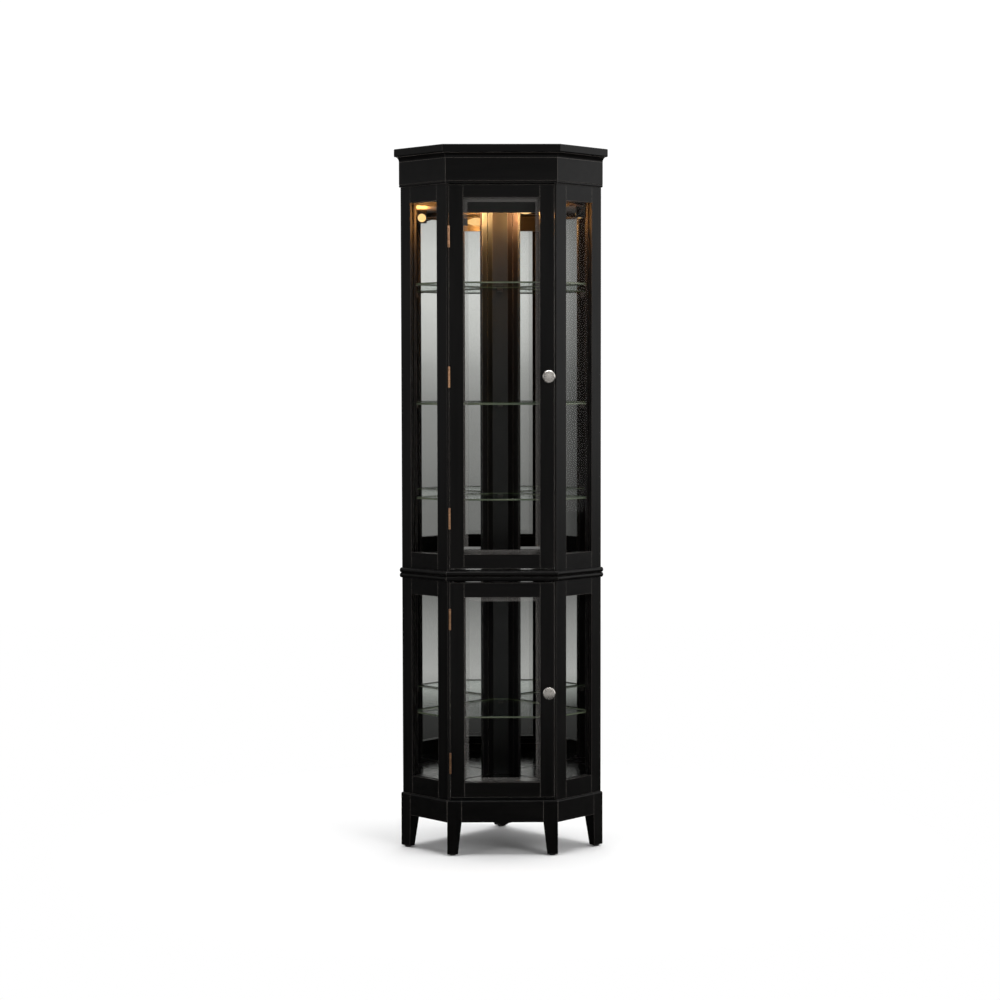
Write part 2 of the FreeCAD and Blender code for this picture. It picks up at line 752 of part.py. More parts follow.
def hinge_pin(z):
    """Pin with a small button head above and below the barrel."""
    low = z - HINGE_L / 2
    pin = Part.makeCylinder(PIN_R, HINGE_L, V(PIN_X, PIN_Y, low))
    top = Part.makeCylinder(BARREL_R - 0.4, 1.2, V(PIN_X, PIN_Y, low + HINGE_L))
    bottom = Part.makeCylinder(BARREL_R - 0.4, 1.2, V(PIN_X, PIN_Y, low - 1.2))
    return joined([pin, top, bottom])


# ---------------------------------------------------------------- lamp

def revolved_along_x(points, start_x):
    """Solid of revolution about the lamp's axis, from (distance towards -X, radius) points."""
    edges = [Part.LineSegment(V(-a[0], 0, a[1]), V(-b[0], 0, b[1])).toShape()
             for a, b in zip(points, points[1:] + points[:1])]
    solid = Part.Face(Part.Wire(edges)).revolve(CENTRE, V(1, 0, 0), 360)
    solid.translate(V(start_x, LAMP_Y, LAMP_Z))
    return solid


def lamp_bulb():
    """Small pear-shaped glass envelope with its tip towards -X."""
    neck_r = 5.6
    length = 45.0
    widest = SOCKET_MOUTH_X - BULB_MIDDLE_X
    steps = 24
    points = [(0.0, 0.0), (0.0, neck_r)]
    for i in range(1, steps):
        t = length * i / steps
        if t < widest:
            swell = math.sin(math.pi / 2 * t / widest) ** 1.5
            points.append((t, neck_r + (BULB_R - neck_r) * swell))
        else:
            tip = (t - widest) / (length - widest)
            points.append((t, BULB_R * (1 - tip ** 2.2) ** 0.6))
    points.append((length, 0.0))
    return revolved_along_x(points, SOCKET_MOUTH_X)


def bulb_base():
    """Screw cap inside the socket, with raised thread rings and a contact button."""
    points = [(0.0, 0.0), (0.0, 5.6)]
    ring = 2.4
    for i in range(5):
        start = -ring * (i + 0.5)
        points += [(start, 5.6), (start - ring / 4, 6.0), (start - ring / 2, 5.6)]
    points += [(-16.0, 4.0), (-17.0, 2.0), (-18.5, 2.0), (-18.5, 0.0)]
    return revolved_along_x(points, SOCKET_MOUTH_X)


def lamp_socket():
    """Candelabra socket: a cup with a stepped rear end, bored for the bulb's cap."""
    length = SOCKET_END_X - SOCKET_MOUTH_X
    cup_r = 6.4
    points = [(0.0, cup_r), (0.0, SOCKET_R), (-length + 8.0, SOCKET_R), (-length + 5.0, SOCKET_R - 3.0),
              (-length, SOCKET_R - 3.0), (-length, 0.0), (-18.5, 0.0), (-18.5, cup_r)]
    return revolved_along_x(points, SOCKET_MOUTH_X)


def lamp_bracket():
    """Bent strap: one leg screwed to the ceiling, the other clamped round the socket."""
    half_w = 12.0
    foot_l = 22.0
    top = CEILING[0]
    y = (LAMP_Y - half_w, LAMP_Y + half_w)
    leg = box((BRACKET_X, BRACKET_X + BRACKET_T), y, (LAMP_Z - half_w, top))
    foot = box((BRACKET_X, BRACKET_X + foot_l), y, (top - BRACKET_T, top))
    strap = joined([leg, foot])
    hole = Part.makeCylinder(SOCKET_R, 10, V(BRACKET_X - 5, LAMP_Y, LAMP_Z), V(1, 0, 0))
    return strap.cut(hole)


GROMMET_RUN = 28.0
GROMMET_Z = 1635.0
GROMMET_R = 4.5
GROMMET_AT = V(*on_back(GROMMET_RUN, BACK_T), GROMMET_Z)
GROMMET_HEADING = V(1 / ROOT2, 1 / ROOT2, 0)
LEAD_ROUTE = [
    V(SOCKET_END_X, LAMP_Y, LAMP_Z),
    V(130.0, LAMP_Y, LAMP_Z),
    V(148.0, -33.0, 1643.5),
    V(168.0, -47.0, 1648.6),
    V(188.0, -60.0, 1639.5),
    GROMMET_AT - GROMMET_HEADING * 26.0,
    GROMMET_AT,
]


def bend(before, corner, after):
    """Start, middle and end of the arc round one corner, as large as its two runs allow."""
    back = before - corner
    ahead = after - corner
    turn = math.pi - back.getAngle(ahead)
    reach = 0.45 * min(back.Length, ahead.Length)
    radius = reach / math.tan(turn / 2)
    print("lead turn", round(math.degrees(turn)), "degrees, radius", round(radius, 1))
    back.normalize()
    ahead.normalize()
    bisector = back + ahead
    bisector.normalize()
    middle = corner + bisector * (radius / math.cos(turn / 2) - radius)
    return corner + back * reach, middle, corner + ahead * reach


def lead_path():
    """Straight runs joined by tangent arcs."""
    edges = []
    last = LEAD_ROUTE[0]
    for before, corner, after in zip(LEAD_ROUTE, LEAD_ROUTE[1:], LEAD_ROUTE[2:]):
        start, middle, end = bend(before, corner, after)
        edges.append(Part.LineSegment(last, start).toShape())
        edges.append(Part.Arc(start, middle, end).toShape())
        last = end
    edges.append(Part.LineSegment(last, LEAD_ROUTE[-1]).toShape())
    return Part.Wire(edges)


def lamp_lead():
    """Round lead from the socket to the grommet."""
    path = lead_path()
    heading = LEAD_ROUTE[1] - LEAD_ROUTE[0]
    ring = Part.Wire(Part.Circle(LEAD_ROUTE[0], heading, LEAD_R).toShape())
    tube = path.makePipeShell([ring], True, False)
    expected = math.pi * LEAD_R ** 2 * path.Length
    print("lead length", round(path.Length, 1), "volume ratio", round(tube.Volume / expected, 4))
    return tube


def lead_clip():
    """Saddle that holds the lead under the ceiling."""
    half_l = 2.5
    outer = LEAD_R + 1.6
    start, at, end = bend(*LEAD_ROUTE[2:5])
    heading = end - start
    heading.normalize()
    across = heading.cross(UP)
    start = at - heading * half_l
    block = Part.makeCylinder(outer, 2 * half_l, start, heading)
    flange = []
    for along, side in ((-1, -1), (1, -1), (1, 1), (-1, 1)):
        spot = at + heading * (half_l * along) + across * (9.0 * side)
        flange.append((spot.x, spot.y))
    tab = prism(flange, CEILING[0] - 1.2, CEILING[0])
    body = joined([block, tab])
    ceiling = box((0, WIDTH), (-DEPTH, DEPTH), (CEILING[0], CEILING[0] + 20))
    room = Part.makeCylinder(LEAD_R + 0.3, 4 * half_l, at - heading * 2 * half_l, heading)
    return body.cut([ceiling, room])


def lead_grommet():
    """Flanged bush in the back stile that the lead goes into."""
    heading = GROMMET_HEADING
    flange = Part.makeCylinder(6.5, 2.0, GROMMET_AT - heading * 2.0, heading)
    sleeve = Part.makeCylinder(GROMMET_R, BACK_T, GROMMET_AT, heading)
    bore = Part.makeCylinder(LEAD_R + 0.2, 3.0, GROMMET_AT - heading * 3.0, heading)
    return joined([flange, sleeve]).cut(bore)


def grommet_hole():
    start = GROMMET_AT - GROMMET_HEADING
    return Part.makeCylinder(GROMMET_R, BACK_T + 2, start, GROMMET_HEADING)


# ---------------------------------------------------------------- assembly

def save_case():
    all_hinges = LOWER_HINGES + UPPER_HINGES
    right_post = front_post()
    left_post = mirrored(right_post).cut(hinge_cuts(-1, all_hinges))
    right_side_post = side_post()
    save("crown_slab", [crown_slab()])
    save("crown_cove", crown_cove())
    save("frieze", frieze())
    save("ceiling_panel", [panel(CEILING).cut(magnet_hole(UPPER_MAGNET_Z))])
    save("light_valance", [light_valance()])
    save("front_posts", [right_post, left_post])
    save("side_posts", [right_side_post.cut(grommet_hole()), mirrored(right_side_post)])
    save("rear_post", [rear_post()])
    save("side_rails", side_rails())
    save("side_panes_lower", pair(pane_space(SIDE_OPENINGS[0], 0)))
    save("side_panes_upper", pair(pane_space(SIDE_OPENINGS[1], 0)))
    save("back_rails", back_rails())
    save("mirrors_lower", mirrors(BACK_OPENINGS[0]))
    save("mirrors_upper", mirrors(BACK_OPENINGS[1]))
    save("back_boards", back_boards())
    save("upper_floor", [panel(UPPER_FLOOR)])
    save("waist_rail", [waist_rail()])
    save("lower_door_stop", [lower_door_stop()])
    save("waist_moulding", waist_moulding())
    save("door_magnets", [magnet_hole(UPPER_MAGNET_Z), magnet_hole(LOWER_MAGNET_Z)])
    save("hinge_frame_leaves", [hinge_leaf(-1, z) for z in all_hinges])
    save("hinge_pins", [hinge_pin(z) for z in all_hinges])
    save("hinge_frame_screws", [hinge_screw(-1, spot) for z in all_hinges for spot in screw_levels(z)])


def save_base():
    envelope = base_envelope()
    all_feet = feet()
    save("lower_floor", [panel(LOWER_FLOOR).cut(all_feet)])
    save("feet", all_feet)
    save("glides", glides())
    save("front_apron", [front_apron(envelope, all_feet)])
    save("side_aprons", side_aprons(envelope, all_feet))
    save("back_aprons", back_aprons(all_feet))


def save_shelves():
    for name, level in SHELVES.items():
        save(name, [shelf(level)])
    save("shelf_clips", shelf_clips())


def save_lamp():
    save("lamp_bracket", [lamp_bracket()])
    save("lamp_socket", [lamp_socket()])
    save("lamp_bulb", [lamp_bulb()])
    save("bulb_base", [bulb_base()])
    save("lamp_lead", [lamp_lead()])
    save("lead_fittings", [lead_clip(), lead_grommet()])


def save_door(name, door, hinges, knob_z, magnet_z):
    """One door, with its hinge leaves, knob, strike disc and screws."""
    left = mirrored(door_stile(door, None)).cut(hinge_cuts(1, hinges))
    right = door_stile(door, [knob_screw_hole(knob_z)])
    strike = strike_disc(magnet_z)
    bottom = door_rail((door[0], door[2]), (door[0], door[2] - LAP), strike)
    top = door_rail((door[3], door[1]), (door[3] + LAP, door[1]), strike)
    screws = [hinge_screw(1, spot) for z in hinges for spot in screw_levels(z)]
    save(name + "_hinge_stile", [left])
    save(name + "_knob_stile", [right])
    save(name + "_bottom_rail", [bottom])
    save(name + "_top_rail", [top])
    save(name + "_glass", [door_glass(door)])
    save(name + "_beads", door_beads(door))
    save(name + "_knob", [knob(knob_z)])
    save(name + "_strike", [strike])
    save(name + "_hinge_leaves", [hinge_leaf(1, z) for z in hinges])
    save(name + "_screws", screws + [knob_screw(knob_z)])


os.makedirs("parts", exist_ok=True)
save_case()
save_base()
save_shelves()
save_lamp()
save_door("upper_door", UPPER_DOOR, UPPER_HINGES, UPPER_KNOB_Z, UPPER_MAGNET_Z)
save_door("lower_door", LOWER_DOOR, LOWER_HINGES, LOWER_KNOB_Z, LOWER_MAGNET_Z)
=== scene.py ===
"""Looks for the corner curio cabinet: materials, lamp glow, small fittings, studio and camera."""
import json
import math

import bmesh
import bpy
from mathutils import Euler, Matrix, Vector

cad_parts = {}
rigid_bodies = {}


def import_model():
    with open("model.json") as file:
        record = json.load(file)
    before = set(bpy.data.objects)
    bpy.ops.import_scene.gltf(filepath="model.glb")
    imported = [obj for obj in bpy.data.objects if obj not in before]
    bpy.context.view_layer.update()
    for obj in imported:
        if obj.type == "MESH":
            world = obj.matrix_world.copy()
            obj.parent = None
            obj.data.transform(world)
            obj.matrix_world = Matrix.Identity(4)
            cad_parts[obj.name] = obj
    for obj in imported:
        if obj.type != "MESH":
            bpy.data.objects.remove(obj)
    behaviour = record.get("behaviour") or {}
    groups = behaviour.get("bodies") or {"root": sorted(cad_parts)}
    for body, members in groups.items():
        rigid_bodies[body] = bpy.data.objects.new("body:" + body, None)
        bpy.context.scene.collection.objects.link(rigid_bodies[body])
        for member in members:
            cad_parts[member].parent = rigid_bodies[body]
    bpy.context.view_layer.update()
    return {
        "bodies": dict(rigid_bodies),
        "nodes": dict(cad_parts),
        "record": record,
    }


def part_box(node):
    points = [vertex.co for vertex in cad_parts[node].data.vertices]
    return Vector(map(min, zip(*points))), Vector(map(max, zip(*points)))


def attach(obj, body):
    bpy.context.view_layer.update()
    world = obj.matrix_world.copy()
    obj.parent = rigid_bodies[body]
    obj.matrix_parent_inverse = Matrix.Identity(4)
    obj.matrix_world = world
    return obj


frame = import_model()
nodes = frame["nodes"]
subparts = frame["record"]["subparts"]
scene = bpy.context.scene


def grey(v):
    return (v, v, v)


def tones(*stops):
    """Colour ramp stops in grey, from (position, brightness) pairs."""
    return [(position, grey(brightness)) for position, brightness in stops]


# Lacquer: darkest and lightest tone of the grain, the pale tone painted along its edges as a highlight
# and the width of that painted highlight.
LACQUER_DARK = (0.0010, 0.0009, 0.0009)
LACQUER_LIGHT = (0.0036, 0.0032, 0.0029)
EDGE_HIGHLIGHT_TONE = (0.12, 0.11, 0.10, 1)
EDGE_HIGHLIGHT_WIDTH = 0.0016
GRAIN_DEPTH = 0.0006
GRAIN_UPRIGHT = (6, 6, 0.6)
GRAIN_ACROSS = (0.6, 6, 6)

# Glass: how sharply its gloss grows towards grazing angles, and the haze on the door glass's bevel.
GRAZING_POWER = 5.0
BEVEL_HAZE = 0.16

# Fine texture depth on metal and plastic, and the strength of the lit bulb.
FINE_DEPTH = 0.0002
BULB_GLOW = 1.6

# Softened edges on wood start at this angle between faces.
SOFT_ANGLE = math.radians(32)

# Studio, as brightness along a direction: the room from left to right, the floor that mirrors see
# from far in front of the cabinet to its foot, and the card behind the camera, upwards and across.
ROOM_TONES = tones((0.0, 0.42), (0.2, 0.24), (0.4, 0.04), (0.6, 0.05), (0.8, 0.70), (1.0, 1.55))
FLOOR_TONES = tones((0.0, 0.24), (0.2, 0.29), (0.46, 0.47), (0.70, 0.62), (0.77, 0.50), (0.85, 0.06),
                    (1.0, 0.035))
WALL_TONES = tones((0.0, 0.26), (0.115, 0.29), (0.223, 0.38), (0.33, 0.44), (0.40, 0.60), (0.44, 0.78),
                   (0.547, 1.05), (0.655, 1.0), (0.76, 0.70), (1.0, 0.4))
WALL_SIDES = tones((0.25, 0.26), (0.31, 0.31), (0.416, 0.95), (0.53, 1.0))
EVEN = tones((0, 1), (1, 1))
FLOOR_SIZE = 14
FLOOR_FADE = (0.35, 1.15)
FLOOR_SEEN = (-7.0, -1.0)

# Camera, fitted to the cabinet's corners.
CAMERA_LENS = 76.266
CAMERA_AT = (-0.06222, -5.45762, 1.19656)
CAMERA_TILT = 0.05659
CAMERA_TURN = -0.01085
CAMERA_ROLL = -0.00184


# ---------------------------------------------------------------- node helpers

def shader_tree(name):
    """A new material with a Principled shader wired to its output."""
    mat = bpy.data.materials.new(name)
    mat.use_nodes = True
    tree = mat.node_tree
    tree.nodes.clear()
    out = tree.nodes.new("ShaderNodeOutputMaterial")
    bsdf = tree.nodes.new("ShaderNodeBsdfPrincipled")
    tree.links.new(bsdf.outputs[0], out.inputs[0])
    return mat, tree, bsdf, out


def add(tree, kind, settings=None, **inputs):
    """A node with its properties and input values set."""
    node = tree.nodes.new("ShaderNode" + kind)
    for key, value in (settings or {}).items():
        setattr(node, key, value)
    for key, value in inputs.items():
        node.inputs[key.replace("_", " ")].default_value = value
    return node


def place(tree, scale):
    """Object-space position, stretched by a scale for each axis."""
    coords = add(tree, "TexCoord")
    mapping = add(tree, "Mapping", Scale=scale)
    tree.links.new(coords.outputs["Object"], mapping.inputs["Vector"])
    return mapping.outputs["Vector"]


def noise(tree, vector, scale, detail=4.0, rough=0.55):
    node = add(tree, "TexNoise", Scale=scale, Detail=detail, Roughness=rough)
    tree.links.new(vector, node.inputs["Vector"])
    return node.outputs["Fac"]


def ramp(tree, value, stops):
    """Colour ramp from (position, colour) stops."""
    node = add(tree, "ValToRGB")
    elements = node.color_ramp.elements
    while len(elements) < len(stops):
        elements.new(0.5)
    for element, (position, colour) in zip(elements, stops):
        element.position = position
        element.color = (*colour, 1.0) if len(colour) == 3 else colour
    tree.links.new(value, node.inputs["Fac"])
    return node.outputs["Color"]


def span(tree, value, low, high, a=0.0, b=1.0):
    """Value remapped from a..b to low..high."""
    node = add(tree, "MapRange")
    node.inputs["From Min"].default_value = a
    node.inputs["From Max"].default_value = b
    node.inputs["To Min"].default_value = low
    node.inputs["To Max"].default_value = high
    tree.links.new(value, node.inputs["Value"])
    return node.outputs["Result"]


def bump(tree, bsdf, height, strength, distance):
    node = add(tree, "Bump", Strength=strength, Distance=distance)
    tree.links.new(height, node.inputs["Height"])
    tree.links.new(node.outputs["Normal"], bsdf.inputs["Normal"])


# ---------------------------------------------------------------- materials

def lacquer(name, grain_scale, dark, light, rough, coat, grain_bump=0.12, gloss=0.12):
    """Black lacquer over wood: faint grain, a satin coat and a painted highlight along its edges."""
    mat, tree, bsdf, _ = shader_tree(name)
    grain = noise(tree, place(tree, grain_scale), 9.0, 6.0, 0.62)
    cloud = noise(tree, place(tree, (1, 1, 1)), 7.0, 3.0)
    colour = ramp(tree, grain, [(0.3, dark), (0.72, light)])
    round_off = add(tree, "Bevel", {"samples": 4}, Radius=EDGE_HIGHLIGHT_WIDTH)
    facet = add(tree, "NewGeometry")
    same = add(tree, "VectorMath", {"operation": "DOT_PRODUCT"})
    tree.links.new(round_off.outputs[0], same.inputs[0])
    tree.links.new(facet.outputs["True Normal"], same.inputs[1])
    # Edge mask from the bevel node: the pale tone mixed in along the edges is a painted highlight.
    painted_highlight = span(tree, same.outputs["Value"], 0.8, 0.0, 0.80, 0.97)
    mix = add(tree, "Mix", {"data_type": "RGBA"})
    tree.links.new(painted_highlight, mix.inputs[0])
    tree.links.new(colour, mix.inputs[6])
    mix.inputs[7].default_value = EDGE_HIGHLIGHT_TONE
    tree.links.new(mix.outputs[2], bsdf.inputs["Base Color"])
    tree.links.new(span(tree, cloud, rough - 0.05, rough + 0.07, 0.3, 0.7), bsdf.inputs["Roughness"])
    bsdf.inputs["Specular IOR Level"].default_value = gloss
    bsdf.inputs["Coat Weight"].default_value = coat
    bsdf.inputs["Coat Roughness"].default_value = 0.14
    bump(tree, bsdf, grain, grain_bump, GRAIN_DEPTH)
    return mat


def glass(name, tint, head_on, grazing_share=1.0, rough=0.0):
    """Clear glass that lets lamps through, with faint smears on its gloss."""
    mat, tree, bsdf, out = shader_tree(name)
    tree.nodes.remove(bsdf)
    clear = add(tree, "BsdfTransparent")
    clear.inputs["Color"].default_value = (*tint, 1)
    gloss = add(tree, "BsdfGlossy")
    gloss.inputs["Color"].default_value = (1, 1, 1, 1)
    smear = noise(tree, place(tree, (1, 1, 0.4)), 5.0, 3.0)
    tree.links.new(span(tree, smear, rough, rough + 0.03, 0.4, 0.8), gloss.inputs["Roughness"])
    facing = add(tree, "LayerWeight", Blend=0.5)
    grazing = add(tree, "Math", {"operation": "POWER"})
    tree.links.new(facing.outputs["Facing"], grazing.inputs[0])
    grazing.inputs[1].default_value = GRAZING_POWER
    shine = span(tree, grazing.outputs[0], head_on, grazing_share)
    mix = add(tree, "MixShader")
    tree.links.new(shine, mix.inputs[0])
    tree.links.new(clear.outputs[0], mix.inputs[1])
    tree.links.new(gloss.outputs[0], mix.inputs[2])
    tree.links.new(mix.outputs[0], out.inputs[0])
    return mat


def bevel_glass():
    """Door glass: the ground slope catches a little more light than the flat middle."""
    mat = glass("bevelled_glass", (0.955, 0.96, 0.955), 0.0)
    tree = mat.node_tree
    out = next(n for n in tree.nodes if n.type == "OUTPUT_MATERIAL")
    flat = out.inputs[0].links[0].from_socket
    geometry = add(tree, "NewGeometry")
    split = add(tree, "SeparateXYZ")
    tree.links.new(geometry.outputs["True Normal"], split.inputs[0])
    size = add(tree, "Math", {"operation": "ABSOLUTE"})
    tree.links.new(split.outputs["Y"], size.inputs[0])
    slope = span(tree, size.outputs[0], 1.0, 0.0, 0.9975, 0.9995)
    haze = add(tree, "BsdfDiffuse")
    haze.inputs["Color"].default_value = (0.42, 0.40, 0.38, 1)
    strength = add(tree, "Math", {"operation": "MULTIPLY"})
    strength.inputs[1].default_value = BEVEL_HAZE
    tree.links.new(slope, strength.inputs[0])
    mix = add(tree, "MixShader")
    tree.links.new(strength.outputs[0], mix.inputs[0])
    tree.links.new(flat, mix.inputs[1])
    tree.links.new(haze.outputs[0], mix.inputs[2])
    tree.links.new(mix.outputs[0], out.inputs[0])
    return mat


def metal(name, dark, light, rough, grain, spots=0.0, shine=1.0):
    """Metal with brushed variation and, where spots is set, patches of tarnish."""
    mat, tree, bsdf, _ = shader_tree(name)
    brush = noise(tree, place(tree, grain), 60.0, 5.0, 0.6)
    patch = noise(tree, place(tree, (1, 1, 1)), 90.0, 3.0)
    colour = ramp(tree, brush, [(0.3, dark), (0.7, light)])
    if spots:
        tarnish = ramp(tree, patch, [(0.5, (1, 1, 1)), (0.75, (1 - spots, 1 - spots, 1 - spots))])
        mix = add(tree, "Mix", {"data_type": "RGBA", "blend_type": "MULTIPLY"})
        mix.inputs[0].default_value = 1.0
        tree.links.new(colour, mix.inputs[6])
        tree.links.new(tarnish, mix.inputs[7])
        colour = mix.outputs[2]
    tree.links.new(colour, bsdf.inputs["Base Color"])
    tree.links.new(span(tree, brush, rough - 0.06, rough + 0.1, 0.3, 0.7), bsdf.inputs["Roughness"])
    bsdf.inputs["Metallic"].default_value = shine
    bump(tree, bsdf, brush, 0.08, FINE_DEPTH)
    return mat


def silvered():
    """Mirror: silvering with the slightest grey bloom."""
    mat, tree, bsdf, _ = shader_tree("mirror")
    bloom = noise(tree, place(tree, (1, 1, 1)), 3.0, 3.0)
    tree.links.new(ramp(tree, bloom, [(0.3, (0.80, 0.80, 0.79)), (0.7, (0.86, 0.86, 0.85))]),
                   bsdf.inputs["Base Color"])
    bsdf.inputs["Metallic"].default_value = 1.0
    tree.links.new(span(tree, bloom, 0.0, 0.025, 0.4, 0.8), bsdf.inputs["Roughness"])
    return mat


def plastic(name, dark, light, rough, coat=0.0):
    """Moulded plastic with a fine texture."""
    mat, tree, bsdf, _ = shader_tree(name)
    fine = noise(tree, place(tree, (1, 1, 1)), 400.0, 2.0)
    tree.links.new(ramp(tree, fine, [(0.35, dark), (0.65, light)]), bsdf.inputs["Base Color"])
    tree.links.new(span(tree, fine, rough - 0.05, rough + 0.08, 0.3, 0.7), bsdf.inputs["Roughness"])
    bsdf.inputs["Coat Weight"].default_value = coat
    bump(tree, bsdf, fine, 0.1, FINE_DEPTH)
    return mat


def shelf_glass():
    """Float glass: nearly clear through its faces, green where it is seen along its edge."""
    mat = glass("shelf_glass", (0.94, 0.965, 0.95), 0.004, 0.22)
    tree = mat.node_tree
    out = next(n for n in tree.nodes if n.type == "OUTPUT_MATERIAL")
    face = out.inputs[0].links[0].from_socket
    geometry = add(tree, "NewGeometry")
    split = add(tree, "SeparateXYZ")
    tree.links.new(geometry.outputs["True Normal"], split.inputs[0])
    size = add(tree, "Math", {"operation": "ABSOLUTE"})
    tree.links.new(split.outputs["Z"], size.inputs[0])
    rim = span(tree, size.outputs[0], 1.0, 0.0, 0.55, 0.85)
    edge = add(tree, "BsdfPrincipled", Roughness=0.22)
    streak = noise(tree, place(tree, (1, 1, 6)), 14.0, 3.0)
    tree.links.new(ramp(tree, streak, [(0.3, (0.055, 0.075, 0.05)), (0.7, (0.12, 0.13, 0.085))]),
                   edge.inputs["Base Color"])
    mix = add(tree, "MixShader")
    tree.links.new(rim, mix.inputs[0])
    tree.links.new(face, mix.inputs[1])
    tree.links.new(edge.outputs[0], mix.inputs[2])
    tree.links.new(mix.outputs[0], out.inputs[0])
    return mat


def lit_glass():
    """Bulb glass, glowing from the filament inside."""
    mat, tree, bsdf, _ = shader_tree("bulb_glass")
    warm = noise(tree, place(tree, (1, 1, 1)), 40.0, 2.0)
    tree.links.new(ramp(tree, warm, [(0.3, (1.0, 0.56, 0.20)), (0.7, (1.0, 0.66, 0.30))]),
                   bsdf.inputs["Emission Color"])
    bsdf.inputs["Base Color"].default_value = (0.03, 0.016, 0.006, 1)
    bsdf.inputs["Roughness"].default_value = 0.1
    bsdf.inputs["Specular IOR Level"].default_value = 0.0
    bsdf.inputs["Emission Strength"].default_value = BULB_GLOW
    return mat


MATERIALS = {
    "black_lacquer": lacquer("black_lacquer", GRAIN_UPRIGHT, LACQUER_DARK, LACQUER_LIGHT, 0.34, 0.06),
    "lacquered_panel": lacquer("lacquered_panel", (1.0, 7, 7), (0.0022, 0.002, 0.0018),
                               (0.005, 0.0045, 0.004), 0.24, 0.5, 0.012),
    "back_board": lacquer("back_board", (3, 3, 3), (0.012, 0.011, 0.010),
                          (0.024, 0.022, 0.020), 0.55, 0.0, 0.2),
    "clear_glass": glass("clear_glass", (0.96, 0.965, 0.96), 0.0),
    "shelf_glass": shelf_glass(),
    "bevelled_glass": bevel_glass(),
    "mirror": silvered(),
    "aged_brass": metal("aged_brass", (0.30, 0.155, 0.085), (0.58, 0.34, 0.20), 0.36, (1, 1, 5), 0.5),
    "satin_nickel": metal("satin_nickel", (0.66, 0.62, 0.57), (0.84, 0.80, 0.75), 0.24, (3, 3, 3), 0.1),
    "bright_steel": metal("bright_steel", (0.38, 0.38, 0.38), (0.60, 0.60, 0.59), 0.34, (1, 1, 4), 0.2),
    "glide_plastic": plastic("glide_plastic", (0.012, 0.012, 0.012), (0.022, 0.022, 0.021), 0.5),
    "socket_plastic": plastic("socket_plastic", (0.0035, 0.003, 0.0025), (0.006, 0.005, 0.004), 0.5),
    "bulb_glass": lit_glass(),
    "cap_brass": metal("cap_brass", (0.52, 0.38, 0.18), (0.74, 0.60, 0.34), 0.28, (8, 1, 1), 0.2),
    "lead_pvc": plastic("lead_pvc", (0.030, 0.016, 0.008), (0.050, 0.027, 0.014), 0.5),
    "fitting_plastic": plastic("fitting_plastic", (0.02, 0.016, 0.013), (0.035, 0.028, 0.023), 0.45),
}
POST_GLOSS = lacquer("black_lacquer_glossy", GRAIN_UPRIGHT, LACQUER_DARK, LACQUER_LIGHT,
                     0.34, 0.30, 0.12, 0.4)
VALANCE = lacquer("black_lacquer_valance", GRAIN_ACROSS, (0.011, 0.0105, 0.010),
                  (0.020, 0.019, 0.018), 0.40, 0.06)
RAIL_GRAIN = lacquer("black_lacquer_across", GRAIN_ACROSS, LACQUER_DARK, LACQUER_LIGHT, 0.34, 0.06)
ACROSS = ("crown_slab", "crown_cove", "frieze", "waist_rail", "waist_moulding", "front_apron",
          "side_aprons", "back_aprons", "side_rails", "back_rails", "light_valance", "lower_door_stop",
          "upper_door_bottom_rail", "upper_door_top_rail", "lower_door_bottom_rail",
          "lower_door_top_rail")

for part in subparts:
    name = part["node"]
    mat = RAIL_GRAIN if name in ACROSS else MATERIALS[part["material_slot"]]
    mat = {"rear_post": POST_GLOSS, "light_valance": VALANCE}.get(name, mat)
    data = nodes[name].data
    data.materials.clear()
    data.materials.append(mat)

SOFT_EDGES = {
    "crown_slab": 0.0008, "crown_cove": 0.0005, "frieze": 0.0007, "waist_moulding": 0.0005,
    "front_posts": 0.0009, "side_posts": 0.0009, "rear_post": 0.0009, "side_rails": 0.0008,
    "back_rails": 0.0007, "waist_rail": 0.0008, "front_apron": 0.0009, "side_aprons": 0.0009,
    "back_aprons": 0.0009, "feet": 0.0010, "light_valance": 0.0008, "lower_door_stop": 0.0008,
}
for door in ("upper_door", "lower_door"):
    for piece in ("hinge_stile", "knob_stile", "bottom_rail", "top_rail"):
        SOFT_EDGES[door + "_" + piece] = 0.0010
    SOFT_EDGES[door + "_beads"] = 0.0006
for name, width in SOFT_EDGES.items():
    modifier = nodes[name].modifiers.new("soft edge", "BEVEL")
    modifier.width = width
    modifier.segments = 2
    modifier.limit_method = "ANGLE"
    modifier.angle_limit = SOFT_ANGLE
    modifier.harden_normals = True


# ---------------------------------------------------------------- small pieces

def new_piece(name, bm, mat, body, smooth=True):
    """A mesh piece that rides on a body and takes its finish from a slot."""
    mesh = bpy.data.meshes.new(name)
    bm.to_mesh(mesh)
    bm.free()
    for face in mesh.polygons:
        face.use_smooth = smooth
    piece = bpy.data.objects.new(name, mesh)
    scene.collection.objects.link(piece)
    mesh.materials.append(mat)
    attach(piece, body)
    return piece


def turned(bm, profile, at, axis, steps=32):
    """Surface of revolution from (distance along the axis, radius) points."""
    turn = Vector((0, 0, 1)).rotation_difference(axis).to_matrix().to_4x4()
    put = Matrix.Translation(at) @ turn
    rings = []
    for along, radius in profile:
        ring = []
        for i in range(steps):
            a = 2 * math.pi * i / steps
            ring.append(bm.verts.new(put @ Vector((radius * math.cos(a), radius * math.sin(a), along))))
        rings.append(ring)
    for low, high in zip(rings, rings[1:]):
        for i in range(steps):
            j = (i + 1) % steps
            bm.faces.new((low[i], low[j], high[j], high[i]))
    bm.faces.new(list(reversed(rings[0])))
    bm.faces.new(rings[-1])


PAD_PROFILE = [(-0.0016, 0.0038), (-0.0012, 0.0042), (-0.0001, 0.0042), (0.0, 0.0040)]
PAD_STEPS = 24
FRONT_PAD = (0.1339, -0.1419)
SIDE_PAD = (0.2187, -0.0487)
REAR_PAD_IN = 0.006


